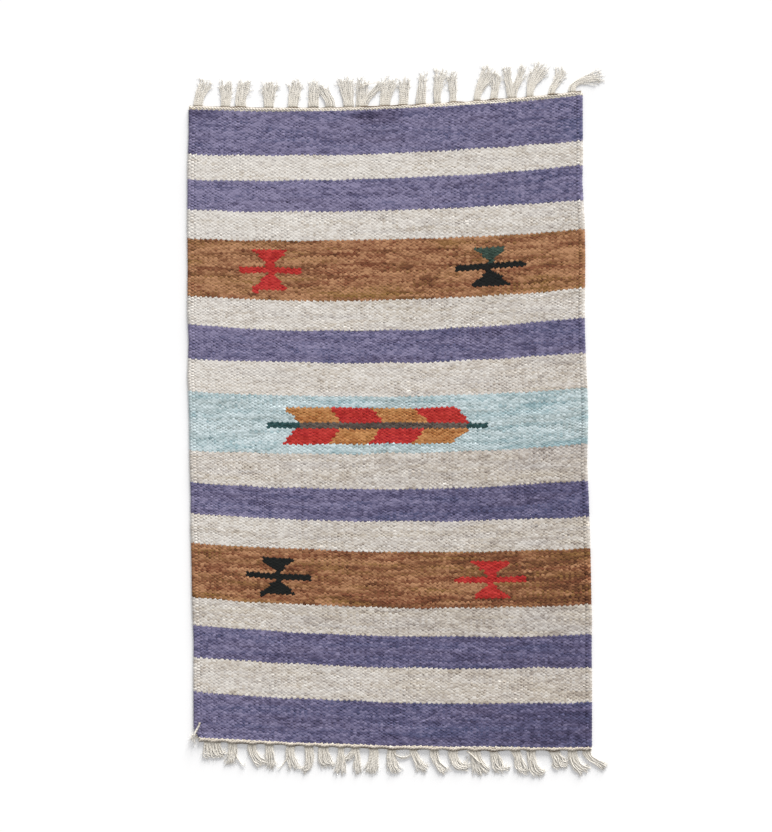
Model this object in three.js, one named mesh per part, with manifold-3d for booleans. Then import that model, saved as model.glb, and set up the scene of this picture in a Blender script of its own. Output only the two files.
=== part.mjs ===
// A flat-woven dhurrie rug lying open on a floor: the woven field and a knotted fringe at each short edge.
// Millimetres. X runs across the rug, +Y to its far short edge and +Z up.
// The origin is under the middle of the field, on the floor.
import * as THREE from "three";
import Module from "manifold-3d";

// Cloth
const CLOTH = 4.0; // thickness of the weave
const WAVE = 0.25; // how uneven its face is
const COLUMNS = 22; // columns of the face between the two selvedges
const BAND_ROWS = 2; // rows of the face in each weft band
const PARTING = 0.3; // gap between the cloth and each fringe

// Fringe
const HEADER_WIDE = 6.2;
const HEADER_HIGH = 3.6;
const HEADER_STEPS = 24;
const KNOT = { out: 8.2, across: 5.6, deep: 4.0, high: 6.4 };
const STRAND = { rootWide: 2.6, tipWide: 1.7, rootHigh: 4.2, tipHigh: 1.7 };
const STRAND_STEPS = 3;
const STRAND_EVERY = 4.6; // one strand for this much of a tuft's fan
const GATHER = 3.4; // half the width in which a tuft's strands leave its knot

// Weft bands from the far edge to the near one. far is the y of the band's far line at the rug's left,
// middle and right; sides are the x of its two selvedges at the band's middle.
const BANDS = [
  { far: [481.0, 481.3, 504.0], sides: [-306.0, 291.0] },
  { far: [412.1, 414.7, 434.5], sides: [-307.5, 290.5] },
  { far: [374.8, 376.5, 397.7], sides: [-307.0, 290.5] },
  { far: [328.8, 328.1, 344.7], sides: [-308.0, 292.5] },
  { far: [285.9, 283.8, 300.5], sides: [-306.5, 295.0] },
  { far: [198.4, 192.7, 212.6], sides: [-307.5, 294.0] },
  { far: [155.7, 146.7, 167.6], sides: [-305.5, 294.5] },
  { far: [105.1, 98.2, 114.2], sides: [-307.5, 296.0] },
  { far: [55.5, 47.6, 61.2], sides: [-306.0, 298.5] },
  { far: [-33.4, -38.4, -23.9], sides: [-304.5, 297.5] },
  { far: [-82.2, -92.8, -78.9], sides: [-302.0, 300.0] },
  { far: [-129.5, -141.1, -133.1], sides: [-303.0, 301.5] },
  { far: [-173.4, -186.7, -181.1], sides: [-300.5, 303.5] },
  { far: [-254.8, -271.1, -265.9], sides: [-301.0, 304.5] },
  { far: [-296.8, -313.7, -311.5], sides: [-298.0, 304.5] },
  { far: [-345.5, -360.9, -360.6], sides: [-299.0, 305.0] },
  { far: [-397.3, -413.7, -413.9], sides: [-297.5, 305.5] },
];
const NEAR_LINE = [-466.5, -479.1, -481.3];

// Height of the face near a selvedge, by distance in from it: a rounded double cord, a groove, then the weave.
const SELVEDGE = [
  { inward: 0.0, high: 2.6 },
  { inward: 1.2, high: 4.2 },
  { inward: 4.5, high: 4.9 },
  { inward: 8.0, high: 4.2 },
  { inward: 9.5, high: 3.5 },
  { inward: 11.5, high: CLOTH },
];
const END_ROUND = { inward: 1.5, high: 2.8 }; // the same at the two short edges

// Tufts from left to right: x where it leaves the header, x and y of its tips, width of its fan there,
// and how far it bows to the right on its way.
const FAR_TUFTS = [
  { root: -289, tip: -277, reach: 524, fan: 20, bow: 0 },
  { root: -247, tip: -247, reach: 523, fan: 21, bow: 1 },
  { root: -224, tip: -218, reach: 524, fan: 20, bow: -2 },
  { root: -182, tip: -180, reach: 522, fan: 21, bow: 0 },
  { root: -146, tip: -141, reach: 524, fan: 20, bow: 1 },
  { root: -114, tip: -112, reach: 522, fan: 14, bow: -1 },
  { root: -90, tip: -103, reach: 516, fan: 14, bow: 1 },
  { root: -61, tip: -66, reach: 528, fan: 23, bow: -2 },
  { root: -43, tip: -40, reach: 528, fan: 14, bow: 0 },
  { root: -41, tip: -13, reach: 521, fan: 5, bow: 3 },
  { root: -7, tip: 2, reach: 528, fan: 23, bow: 0 },
  { root: 20, tip: 23, reach: 527, fan: 15, bow: 2 },
  { root: 48, tip: 50, reach: 536, fan: 11, bow: 0 },
  { root: 73, tip: 78, reach: 540, fan: 18, bow: -2 },
  { root: 96, tip: 94, reach: 535, fan: 14, bow: 1 },
  { root: 133, tip: 153, reach: 544, fan: 24, bow: -1 },
  { root: 157, tip: 161, reach: 537, fan: 12, bow: 2 },
  { root: 184, tip: 177, reach: 546, fan: 10, bow: -2 },
  { root: 187, tip: 203, reach: 546, fan: 10, bow: 1 },
  { root: 212, tip: 230, reach: 549, fan: 25, bow: -1 },
  { root: 244, tip: 261, reach: 543, fan: 15, bow: 2 },
  { root: 276, tip: 312, reach: 526, fan: 16, bow: -4 },
];
const NEAR_TUFTS = [
  { root: -267, tip: -266, reach: -501, fan: 29, bow: 0 },
  { root: -238, tip: -241, reach: -508, fan: 14, bow: 2 },
  { root: -207, tip: -192, reach: -511, fan: 17, bow: -3 },
  { root: -182, tip: -180, reach: -513, fan: 14, bow: 1 },
  { root: -149, tip: -144, reach: -516, fan: 14, bow: -2 },
  { root: -122, tip: -122, reach: -523, fan: 11, bow: 2 },
  { root: -99, tip: -96, reach: -514, fan: 24, bow: -1 },
  { root: -74, tip: -75, reach: -522, fan: 17, bow: 1 },
  { root: -53, tip: -65, reach: -505, fan: 8, bow: -2 },
  { root: -50, tip: -50, reach: -522, fan: 10, bow: 2 },
  { root: -24, tip: -29, reach: -521, fan: 19, bow: 1 },
  { root: 4, tip: 7, reach: -521, fan: 18, bow: -2 },
  { root: 36, tip: 51, reach: -519, fan: 14, bow: 2 },
  { root: 67, tip: 82, reach: -522, fan: 12, bow: -2 },
  { root: 97, tip: 114, reach: -522, fan: 20, bow: -4 },
  { root: 129, tip: 140, reach: -524, fan: 24, bow: 0 },
  { root: 157, tip: 165, reach: -524, fan: 20, bow: 3 },
  { root: 190, tip: 197, reach: -525, fan: 17, bow: 5 },
  { root: 214, tip: 224, reach: -528, fan: 16, bow: -1 },
  { root: 248, tip: 258, reach: -516, fan: 23, bow: 4 },
  { root: 276, tip: 294, reach: -522, fan: 20, bow: -3 },
  { root: 299, tip: 326, reach: -511, fan: 9, bow: -4 },
];

const wasm = await Module();
wasm.setup();
const { Manifold, Mesh, CrossSection } = wasm;

const mix = (a, b, t) => a + (b - a) * t;

// The curve through a line's left, middle and right values, at u from -1 to 1 across the rug.
function lineY([left, middle, right], u) {
  return middle + ((right - left) / 2) * u + ((right + left) / 2 - middle) * u * u;
}

// y of the cloth at u across and v along it, where v counts bands down from the far edge.
function clothY(u, v) {
  const band = Math.min(Math.floor(v), BANDS.length - 1);
  const far = lineY(BANDS[band].far, u);
  const near = lineY(band + 1 < BANDS.length ? BANDS[band + 1].far : NEAR_LINE, u);
  return mix(far, near, v - band);
}

// x of a selvedge: side 0 is the left one, 1 the right one.
function selvedgeX(side, v) {
  const at = Math.min(Math.max(v - 0.5, 0), BANDS.length - 1);
  const band = Math.min(Math.floor(at), BANDS.length - 2);
  return mix(BANDS[band].sides[side], BANDS[band + 1].sides[side], at - band);
}

function acrossOf(x) {
  return x / 300;
}

// The same numbers on every run, from -1 to 1.
function jitter(seed) {
  const s = Math.sin(seed * 127.1 + 311.7) * 43758.5453;
  return (s - Math.floor(s)) * 2 - 1;
}

// A closed solid from a list of points and a list of triangles.
function solid(points, faces) {
  return new Manifold(
    new Mesh({
      numProp: 3,
      vertProperties: new Float32Array(points.flat()),
      triVerts: new Uint32Array(faces.flat()),
    }),
  );
}

// The field: its face is a grid of rows and columns, and its underside is flat.
function wovenField() {
  const rows = [0, 0.03];
  for (let i = 1; i < BANDS.length * BAND_ROWS; i += 1) rows.push(i / BAND_ROWS);
  rows.push(BANDS.length - 0.03, BANDS.length);

  const edge = SELVEDGE.length;
  const wide = 2 * edge + COLUMNS;
  const points = [];
  rows.forEach((v, row) => {
    const left = selvedgeX(0, v);
    const right = selvedgeX(1, v);
    const end = row === 0 || row === rows.length - 1;
    for (let c = 0; c < wide; c += 1) {
      let x, high;
      if (c < edge) {
        x = left + SELVEDGE[c].inward;
        high = SELVEDGE[c].high;
      } else if (c >= edge + COLUMNS) {
        x = right - SELVEDGE[wide - 1 - c].inward;
        high = SELVEDGE[wide - 1 - c].high;
      } else {
        const t = (c - edge + 1) / (COLUMNS + 1);
        const inner = SELVEDGE[edge - 1].inward;
        x = mix(left + inner, right - inner, t);
        high = CLOTH + WAVE * Math.sin(x / 41 + v * 0.9) * Math.cos(v * 1.7 - x / 90);
      }
      const y = clothY(acrossOf(x), v);
      points.push([x, y, end ? Math.min(high, END_ROUND.high) : high]);
    }
  });

  const faces = [];
  for (let r = 0; r < rows.length - 1; r += 1) {
    for (let c = 0; c < wide - 1; c += 1) {
      const a = r * wide + c;
      const b = a + wide;
      faces.push([a, b, a + 1], [a + 1, b, b + 1]);
    }
  }

  // Walls down to the floor round the outline, then the flat underside.
  const last = (rows.length - 1) * wide;
  const outline = [];
  for (let r = 0; r < rows.length; r += 1) outline.push(r * wide);
  for (let c = 1; c < wide; c += 1) outline.push(last + c);
  for (let r = rows.length - 2; r >= 0; r -= 1) outline.push(r * wide + wide - 1);
  for (let c = wide - 2; c > 0; c -= 1) outline.push(c);
  const base = points.length;
  outline.forEach((i) => points.push([points[i][0], points[i][1], 0]));
  outline.forEach((i, k) => {
    const next = (k + 1) % outline.length;
    faces.push([i, base + k, base + next], [i, base + next, outline[next]]);
  });
  const flat = outline.map((i) => new THREE.Vector2(points[i][0], points[i][1]));
  THREE.ShapeUtils.triangulateShape(flat, []).forEach(([a, b, c]) => {
    faces.push([base + a, base + c, base + b]);
  });
  return solid(points, faces);
}

// The header strip of one fringe. out is +1 at the far edge and -1 at the near one.
function headerStrip(out) {
  const v = out > 0 ? 0 : BANDS.length;
  const left = selvedgeX(0, v) + 1;
  const right = selvedgeX(1, v) - 1;
  const points = [];
  for (let i = 0; i <= HEADER_STEPS; i += 1) {
    const x = mix(left, right, i / HEADER_STEPS);
    const y = clothY(acrossOf(x), v) + out * PARTING;
    points.push([x, y, 0], [x, y + out * HEADER_WIDE, 0]);
    points.push([x, y + out * HEADER_WIDE, HEADER_HIGH * 0.7]);
    points.push([x, y + out * HEADER_WIDE * 0.5, HEADER_HIGH], [x, y, HEADER_HIGH * 0.8]);
  }
  return loft(points, 5, out < 0);
}

// Joins rings of the same number of points into a closed body.
function loft(points, sides, turned) {
  const faces = [];
  const rings = points.length / sides;
  for (let r = 0; r < rings - 1; r += 1) {
    for (let s = 0; s < sides; s += 1) {
      const a = r * sides + s;
      const b = r * sides + ((s + 1) % sides);
      faces.push([a, b, b + sides], [a, b + sides, a + sides]);
    }
  }
  const end = (rings - 1) * sides;
  for (let s = 1; s < sides - 1; s += 1) {
    faces.push([0, s + 1, s], [end, end + s, end + s + 1]);
  }
  if (turned) faces.forEach((f) => f.reverse());
  return solid(points, faces);
}

// The low dome of a knot, flat on the floor.
function knot(x, y) {
  const profile = [[0, 0], [1, 0], [0.85, 0.65], [0, 1]];
  return Manifold.revolve(new CrossSection([profile]), 8)
    .scale([KNOT.across, KNOT.deep, KNOT.high])
    .translate([x, y, 0]);
}

// One strand on the floor: a three-sided yarn on a bent path, its flat side down.
function strand(path) {
  const points = [];
  path.forEach(([x, y], i) => {
    const t = i / (path.length - 1);
    const before = path[Math.max(i - 1, 0)];
    const after = path[Math.min(i + 1, path.length - 1)];
    const run = Math.hypot(after[0] - before[0], after[1] - before[1]);
    const half = mix(STRAND.rootWide, STRAND.tipWide, t) / 2;
    const nx = (-(after[1] - before[1]) / run) * half;
    const ny = ((after[0] - before[0]) / run) * half;
    points.push([x + nx, y + ny, 0], [x - nx, y - ny, 0]);
    points.push([x, y, mix(STRAND.rootHigh, STRAND.tipHigh, t)]);
  });
  return loft(points, 3, true);
}

// The strands of one tuft, fanned from its knot.
function tuft({ root, tip, reach, fan, bow }, out, headerY) {
  const start = headerY + out * (KNOT.out + 0.5);
  const length = Math.abs(reach - start);
  const count = Math.max(2, Math.round(fan / STRAND_EVERY));
  const strands = [];
  for (let i = 0; i < count; i += 1) {
    const side = (2 * i) / (count - 1) - 1;
    const seed = root * 0.37 + i;
    const short = 0.07 * length * (1 + jitter(seed)) * (0.4 + Math.abs(side));
    const from = [root + side * GATHER, start];
    const to = [tip + side * (fan / 2 - 0.8), reach - out * short];
    const one = [from[0] + side * 1.5 + bow, start + out * length * 0.35];
    const two = [mix(from[0], to[0], 0.6) + bow + jitter(seed + 9), start + out * length * 0.7];
    const curve = new THREE.CubicBezierCurve(
      ...[from, one, two, to].map(([x, y]) => new THREE.Vector2(x, y)),
    );
    strands.push(strand(curve.getPoints(STRAND_STEPS).map((p) => [p.x, p.y])));
  }
  return strands;
}

function fringe(tufts, out) {
  const v = out > 0 ? 0 : BANDS.length;
  const bodies = [headerStrip(out)];
  tufts.forEach((row) => {
    const headerY = clothY(acrossOf(row.root), v);
    bodies.push(knot(row.root, headerY + out * KNOT.out));
    bodies.push(...tuft(row, out, headerY));
  });
  return Manifold.union(bodies).simplify(0.01);
}

function named(name, body, colour) {
  const { vertProperties, triVerts } = body.getMesh();
  const geometry = new THREE.BufferGeometry();
  geometry.setAttribute("position", new THREE.BufferAttribute(vertProperties, 3));
  geometry.setIndex(new THREE.BufferAttribute(triVerts, 1));
  const mesh = new THREE.Mesh(geometry, new THREE.MeshStandardMaterial({ color: colour }));
  mesh.name = name;
  return mesh;
}

const group = new THREE.Group();
group.add(named("woven_field", wovenField(), 0xb9a89a));
group.add(named("fringe_far", fringe(FAR_TUFTS, 1), 0xe6dfd0));
group.add(named("fringe_near", fringe(NEAR_TUFTS, -1), 0xe6dfd0));

export default group;
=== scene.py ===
import math

import bpy
import numpy as np
from bpy.props import FloatProperty, PointerProperty
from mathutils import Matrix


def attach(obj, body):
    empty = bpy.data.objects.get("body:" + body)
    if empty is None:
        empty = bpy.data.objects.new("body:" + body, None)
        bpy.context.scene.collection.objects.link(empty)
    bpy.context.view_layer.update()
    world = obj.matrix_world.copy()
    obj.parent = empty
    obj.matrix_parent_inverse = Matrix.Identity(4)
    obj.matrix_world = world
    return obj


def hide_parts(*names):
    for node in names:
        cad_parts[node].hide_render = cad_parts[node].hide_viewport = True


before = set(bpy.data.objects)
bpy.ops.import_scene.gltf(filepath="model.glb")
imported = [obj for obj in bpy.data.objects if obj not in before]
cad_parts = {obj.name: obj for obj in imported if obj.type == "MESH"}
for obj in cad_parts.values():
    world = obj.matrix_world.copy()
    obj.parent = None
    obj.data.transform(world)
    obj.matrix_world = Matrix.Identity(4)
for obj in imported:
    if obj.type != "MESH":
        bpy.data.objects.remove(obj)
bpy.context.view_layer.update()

bl_info = {
    "name": "Dhurrie rug",
    "version": (1, 0, 0),
    "blender": (4, 5, 0),
    "location": "View3D > Sidebar > Rug",
    "description": "Weaves a flat striped rug with a knotted warp fringe, and stages it on a floor",
    "category": "Object",
}

# Sizes are in millimetres of the real rug and turned into metres where a mesh is made.
MM = 0.001


def table(columns, *rows):
    """Rows as dictionaries, with the columns named in the first line."""
    return [dict(zip(columns.split(), row)) for row in rows]


# The weave. A rib is one weft-covered warp; a pick is one pass of the weft. Each weft passes over
# every other warp, so a bead of weft covers one rib and two picks.
RIBS = 146
PICK = 2.34
SELVEDGE_RIBS = 2
SELVEDGE_GAIN = 1.22
RIB_SPREAD = 0.3  # how unevenly the warps are spaced
BULGE = 0.3  # how far a bead's middle pushes into its neighbours, in ribs
SLANT = 0.7  # how far a bead's ends lie above or below one another, in mm
TEETH = 0.92  # how much of the notched edge between two yarns is beaten flat
WANDER = 0.16  # how far each line of the weft strays, in picks
BEAD_SLIP = (1.2, 0.7)  # how far each corner of a bead strays in x and in y
DRIFT = {"by": 0.9, "x": 45, "y": 30}  # how far the picks drift in y, and over what lengths
FACE = 3.85  # mean height of the face
SWELL = {"high": 0.35, "x": (47, 97), "y": (83, 61)}  # low, wide swells of the open cloth
RIPPLE = {"high": 0.2, "x": 34, "y": 29}  # smaller ones on top
SELVEDGE_RISE = 0.45
SELVEDGE_GROOVE = 0.5
OUTER_PACKING = 0.4  # the selvedges' outer halves are smoother than the cloth
# The lattice's points: height over the mean face, where a bead's crest is 1, and how open each lies to the
# light, from 0 in a gap to 1 on a bead; by this the colour gets painted shade, darkest in the gaps.
LATTICE = {"bead": (1.0, 1.0), "gap": (-1.0, 0.0), "side": (0.5, 0.8), "join": (-0.15, 0.72),
           "groove": (-0.3, 0.55)}
EDGE = {"high": 2.0, "bead": 0.5, "foot": 0.2}  # heights of the selvedge's side and of the face's foot
ROLL = 0.8  # how far the face turns in under its own edges
HEADER_PICKS = 2
HEADER_PICK = 1.0

# How tightly the beads are packed, as the depth of the gaps between them and of the painted shade in them:
# the mean, how much it changes from patch to patch and from bead to bead, the size of a patch, and the least
# and most.
PACKING = {"mean": 0.68, "patch": 0.45, "bead": 0.8, "x": 7, "y": 3.2, "range": (0.06, 1.4)}

# Weft bands from the far edge to the near one. far is the y of the band's far line at the rug's left,
# middle and right; sides are the x of its selvedges; tone lightens or darkens its left and right, partly as
# the band's own lightness and partly as painted light, lighter to the left and darker to the right, most in
# the near bands.
BANDS = table(
    "yarn far sides tone",
    ("violet", (481.0, 481.3, 504.0), (-302.8, 291.5), (0.10, 0.00)),
    ("ivory", (412.1, 414.7, 434.5), (-304.9, 292.0), (0.23, 0.09)),
    ("violet", (374.8, 376.5, 397.7), (-304.7, 291.0), (0.16, 0.00)),
    ("ivory", (328.8, 328.1, 344.7), (-305.3, 294.0), (0.22, 0.00)),
    ("tan", (285.9, 283.8, 300.5), (-304.4, 295.5), (-0.02, 0.00)),
    ("ivory", (198.4, 192.7, 212.6), (-305.2, 294.5), (0.12, -0.03)),
    ("violet", (155.7, 146.7, 167.6), (-302.8, 295.0), (0.12, -0.06)),
    ("ivory", (105.1, 98.2, 114.2), (-304.8, 297.2), (0.18, -0.09)),
    ("blue", (55.5, 47.6, 61.2), (-302.0, 299.7), (0.05, -0.08)),
    ("ivory", (-33.4, -38.4, -23.9), (-301.3, 298.0), (0.03, -0.24)),
    ("violet", (-82.2, -92.8, -78.9), (-299.7, 300.7), (0.07, -0.17)),
    ("ivory", (-129.5, -141.1, -133.1), (-300.3, 302.2), (0.10, -0.18)),
    ("tan", (-173.4, -186.7, -181.1), (-298.5, 304.0), (-0.07, -0.26)),
    ("ivory", (-254.8, -271.1, -265.9), (-297.4, 305.5), (-0.05, -0.26)),
    ("violet", (-296.8, -313.7, -311.5), (-295.3, 305.0), (0.00, -0.21)),
    ("ivory", (-345.5, -360.9, -360.6), (-295.8, 305.5), (0.05, -0.19)),
    ("violet", (-397.3, -413.7, -413.9), (-295.5, 305.5), (0.01, -0.29)),
)
NEAR_LINE = (-466.5, -479.1, -481.3)
HALF_LINE = 300.0  # a line's left and right values are at this x
TUCK = {"in": 7.0, "picks": 8.0, "across": 0.06}  # how the near left corner is drawn in, and over how much
# A figure takes that share of its band's painted light too.
FIGURE_TONE = 0.4  # how much of its band's tone a figure's yarn takes on
BEAD_CHANCE = 0.34  # how much one bead differs from the next in tone

# Streaks in the weft: the length over which they change, how many picks share one, the weight and the seed.
# The weft goes over and back, so two picks can share a streak.
STREAKS = table(
    "length picks weight seed",
    (13, 1, 0.7, 2),
    (30, 2, 0.8, 3),
    (70, 2, 0.6, 8),
)
PATCHES = {"weight": 0.5, "x": 120, "picks": 3.0}  # wide patches of tone over the streaks
RIBBING = {"weight": 0.1, "x": 60, "picks": 9.0}  # places where every other pick is lighter
# How the dye drifts: weight and length of its streaks, weight and size of its patches, each bead's own
# chance, and a gain on the sum.
DYE = {"streak": 0.6, "length": 45, "patch": 0.5, "x": 75, "picks": 4.0, "bead": 0.3, "gain": 1.15}

# Yarns: the material's name, the colours of the grooves (where the painted shade of the gaps ends), body and
# raised fibres, the warm and cool tint that the dye drifts to, how streaky it is, and how dark the painted
# shade in its gaps is.
WEFT = "handspun wool weft "
YARNS = {row["yarn"]: row for row in table(
    "yarn name dark body light tints streak gap",
    ("violet", WEFT + "violet", "#2e2a45", "#575373", "#8a84a2", ("#5d5570", "#505578"), 0.11, 1.05),
    ("ivory", WEFT + "undyed ivory", "#80736a", "#bdb4aa", "#dfdad3", ("#c0b5a4", "#bab5b2"), 0.09, 0.65),
    ("tan", WEFT + "walnut tan", "#472512", "#805336", "#b38460", ("#783e28", "#8c6a34"), 0.24, 0.6),
    ("blue", WEFT + "pale blue", "#647f85", "#9fb1b3", "#cddbde", ("#a3aba8", "#94b4bb"), 0.15, 0.6),
    ("red", WEFT + "madder red", "#6f0c0c", "#a21e1b", "#c33b35", ("#9e2518", "#9e1626"), 0.08, 0.6),
    ("gold", WEFT + "ochre", "#653812", "#9b5f31", "#c8905b", ("#9a5928", "#9c7237"), 0.10, 0.6),
    ("black", WEFT + "natural black", "#020202", "#050807", "#131614", ("#0b0b0a", "#070c0c"), 0.06, 0.6),
    ("green", WEFT + "grey green", "#131e1a", "#27372f", "#485d52", ("#2a382d", "#233831"), 0.10, 0.6),
    ("teal", WEFT + "dark teal", "#071c1d", "#143030", "#2f5456", ("#172e2d", "#113034"), 0.08, 0.6),
    ("umber", WEFT + "umber", "#2b221d", "#463b36", "#6c6058", ("#4b3d35", "#403e3a"), 0.10, 0.6),
    ("cotton", "cotton header weft", "#9c8f7c", "#dcd2c0", "#f7f1e6", ("#dccfb8", "#dcd6cb"), 0.06, 0.6),
)}

# The wool's locks and slubs: their size, how far they are drawn out along the weft, and what they add to the
# tone; how sharply the painted shade darkens towards the gaps; and a shift that brings the mean tone to the
# middle of the colours.
LOCK = {"size": 0.8, "drawn": (0.3, 1.0, 1.0), "tone": 0.7}
SLUB = {"size": 2.4, "drawn": (0.22, 1.0, 1.0), "tone": 0.9}
GAP_SHADE_FALL = 1.6
TONE_SHIFT = -0.05
TINT_MOST = 0.75  # how far the dye can drift towards a tint

# Hourglass figures in the tan bands: the middle in x, the pick of the bar counted from the band's far line,
# picks above and below it, half widths at the top, the bar and the base, and the three yarns.
FIGURES = table(
    "band x bar up down half yarns foot",
    (4, -180, 19.0, 13, 13, (25, 47, 27), ("red", "red", "red"), 2),
    (4, 152, 18.6, 12, 13, (25, 53, 28), ("green", "black", "black"), 0),
    (12, -168, 17.8, 12, 12, (26, 48, 26), ("black", "black", "black"), 2),
    (12, 153, 18.2, 12, 12, (28, 53, 28), ("red", "red", "red"), 0),
)
FIGURE_NECK = 4.5
BAR_HALF_PICKS = 2.0
FOOT = (-27, -18)  # a step at the lower left of some figures, from their middle in x

# Places where the dye or the dirt changes, and one of painted shade at the far left corner: middle and half
# size, how much lighter, and the drift of the dye.
SMUDGES_AND_SHADE = table(
    "x y half tone dye",
    # Painted shade: the far left corner is darker.
    (-288, 474, (26, 16), -0.30, -0.3),
    (-27, 469, (38, 9), -0.32, -1.2),
    (282, 452, (18, 20), -0.06, 1.8),
    (-255, 4, (60, 9), 0.10, -0.6),
    (262, 6, (60, 9), 0.10, -0.6),
    (240, -25, (90, 10), -0.10, 0.4),
    (60, 300, (60, 6), -0.12, -0.8),
    (-40, 245, (50, 18), 0.02, -1.0),
    (-60, 205, (90, 8), 0.02, 1.0),
    (10, -222, (120, 34), 0.10, 0.1),
)

# The feather in the blue band: two vanes of slanted blocks on each side of a stem. Heights are parts of the
# band from its far line; each slant is the x of a block's edge at the vane's far and near side.
FEATHER_BAND = 8
STEM = {"from": 0.475, "to": 0.575, "x": (-186, 150), "middle": (-137, 116)}
FEATHER_LINE = 6.2  # y to which the picks at the middle of the feather's band are beaten straight
VANES = [
    {"from": 0.205, "to": 0.475, "blocks": ("gold", "red", "gold", "red"),
     "slants": ((-161, -136), (-90, -73), (-28, -10), (36, 60), (98, 124))},
    {"from": 0.575, "to": 0.855, "blocks": ("red", "gold", "red", "gold"),
     "slants": ((-143, -161), (-76, -92), (-15, -32), (55, 34), (123, 91))},
]

# Tufts from left to right: x where it leaves the header, x and y of its tip, width of its fan there,
# how far it bows to the right on its way, how wavy it is, how far its tip hooks to the right in radians,
# and half the width in which it leaves the header.
FAR_TUFTS = table(
    "root tip reach fan bow curl hook foot",
    (-289, -277, 524, 20, 0, 0.4, 0.0, 7.0),
    (-247, -247, 523, 21, 1, 0.3, 0.0, 7.0),
    (-224, -218, 524, 20, -2, 0.4, 0.0, 7.0),
    (-182, -180, 522, 21, 0, 0.4, 0.0, 7.0),
    (-146, -141, 524, 20, 1, 0.5, 0.0, 7.0),
    (-114, -112, 522, 14, -1, 0.5, 0.0, 7.0),
    (-90, -103, 516, 14, 1, 0.5, 0.0, 7.0),
    (-61, -66, 528, 23, -2, 0.5, 0.0, 7.0),
    (-43, -40, 528, 14, 0, 0.5, 0.0, 7.0),
    (-41, -13, 521, 5, 3, 0.5, 0.0, 7.0),
    (-7, 2, 528, 23, 0, 0.4, 0.0, 7.0),
    (20, 23, 527, 15, 2, 0.4, 0.0, 7.0),
    (48, 50, 536, 11, 0, 0.3, 0.0, 7.0),
    (73, 78, 540, 18, -2, 0.5, 0.0, 4.5),
    (96, 94, 535, 14, 1, 0.4, 0.0, 4.5),
    (133, 153, 544, 24, -1, 0.5, 0.0, 4.5),
    (157, 161, 537, 12, 2, 0.5, 0.0, 4.5),
    (184, 177, 546, 10, -2, 0.4, 0.0, 4.5),
    (187, 203, 546, 10, 1, 0.4, 0.0, 4.5),
    (212, 230, 549, 25, -1, 0.5, 0.0, 4.5),
    (244, 261, 543, 15, 2, 0.5, 0.0, 4.5),
    (276, 321, 533, 17, -4, 0.4, 0.0, 4.5),
)
NEAR_TUFTS = table(
    "root tip reach fan bow curl hook foot",
    (-267, -266, -501, 29, 0, 1.4, 1.2, 12.0),
    (-238, -241, -508, 14, 2, 0.7, 0.0, 6.5),
    (-207, -192, -511, 17, -3, 0.9, 0.5, 6.0),
    (-182, -180, -513, 14, 1, 0.7, 0.1, 6.0),
    (-149, -144, -516, 14, -2, 0.7, 0.2, 6.0),
    (-122, -122, -523, 11, 2, 0.8, -0.5, 6.0),
    (-99, -96, -514, 24, -1, 1.2, 0.6, 6.5),
    (-74, -75, -522, 17, 1, 0.7, 0.0, 4.0),
    (-53, -65, -505, 8, -2, 1.0, -0.9, 3.0),
    (-50, -50, -522, 10, 2, 0.7, 0.2, 3.0),
    (-24, -29, -521, 19, 1, 0.6, 0.0, 6.5),
    (4, 7, -521, 18, -2, 0.7, 0.3, 6.0),
    (36, 51, -519, 14, 2, 0.9, 0.3, 6.0),
    (67, 82, -522, 12, -2, 0.8, 0.2, 6.0),
    (97, 114, -522, 20, -4, 1.3, 0.9, 6.5),
    (129, 140, -524, 24, 0, 0.8, 0.2, 7.0),
    (157, 165, -524, 20, 3, 1.6, 0.9, 6.5),
    (190, 197, -525, 17, 5, 1.6, 0.8, 6.0),
    (214, 224, -528, 16, -1, 1.2, 0.6, 6.5),
    (248, 258, -516, 23, 4, 1.6, 1.0, 7.0),
    (276, 294, -522, 20, -3, 1.3, 0.4, 6.5),
    (299, 326, -511, 11, -3, 0.3, -0.1, 6.0),
)
# How each fringe is worked: warp ends per rib, their radius, how deep they are heaped in radii, how ragged
# their lengths are, the length of one turn of the plies, the loose fibres on each, and where they begin.
FRINGES = {
    "far": {"per_rib": 3.8, "radius": 0.55, "layers": 1.6, "ragged": 0.34, "twist": 3.0,
            "hairs": 6, "hair_from": 0.35},
    "near": {"per_rib": 2.7, "radius": 0.9, "layers": 2.2, "ragged": 0.14, "twist": 4.5,
             "hairs": 5, "hair_from": 0.4},
}
YARN_POINTS = 18
NECK_OUT = 5.4  # how far out of the cloth the tufts begin to spread
UNDER_CORD = {"in": 0.6, "high": 2.2, "out": 2.4, "low": 1.7, "neck": 1.9}  # a warp end's way under the cord
HOOK_FROM = 0.62  # the part of a warp end where its curled tip begins
HAIR_RADIUS = 0.17  # a real cotton fibre is 0.01; a thinner one than this wouldn't show
HAIR_LENGTH = 8.0
TUFT_LEAST = 8.0  # a tuft takes warp ends in the measure of its fan and this
# A warp end's tone: at its root, its gain by the tip, each end's own chance, and how much darker it is in
# its first part, under the cord, as painted shade.
WARP_TONE = {"root": 0.3, "gain": 0.5, "chance": 0.12, "dark": 0.5, "part": 0.13}

# The header cord: two plies that arch from tuft to tuft, and a thin dark strand along its outer side that
# stands in for the cord's shadow line, as painted shade.
CORDS = {
    "far": {"away": 2.8, "arch": 0.8, "ply": 1.5, "high": 2.2, "shadow_strand": 1.0, "even": 0.35, "tone": 0.6},
    "near": {"away": 3.7, "arch": 1.8, "ply": 1.35, "high": 2.9, "shadow_strand": 0.7, "even": 0.6, "tone": 0.3},
}
CORD_TURN = 9.0

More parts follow.
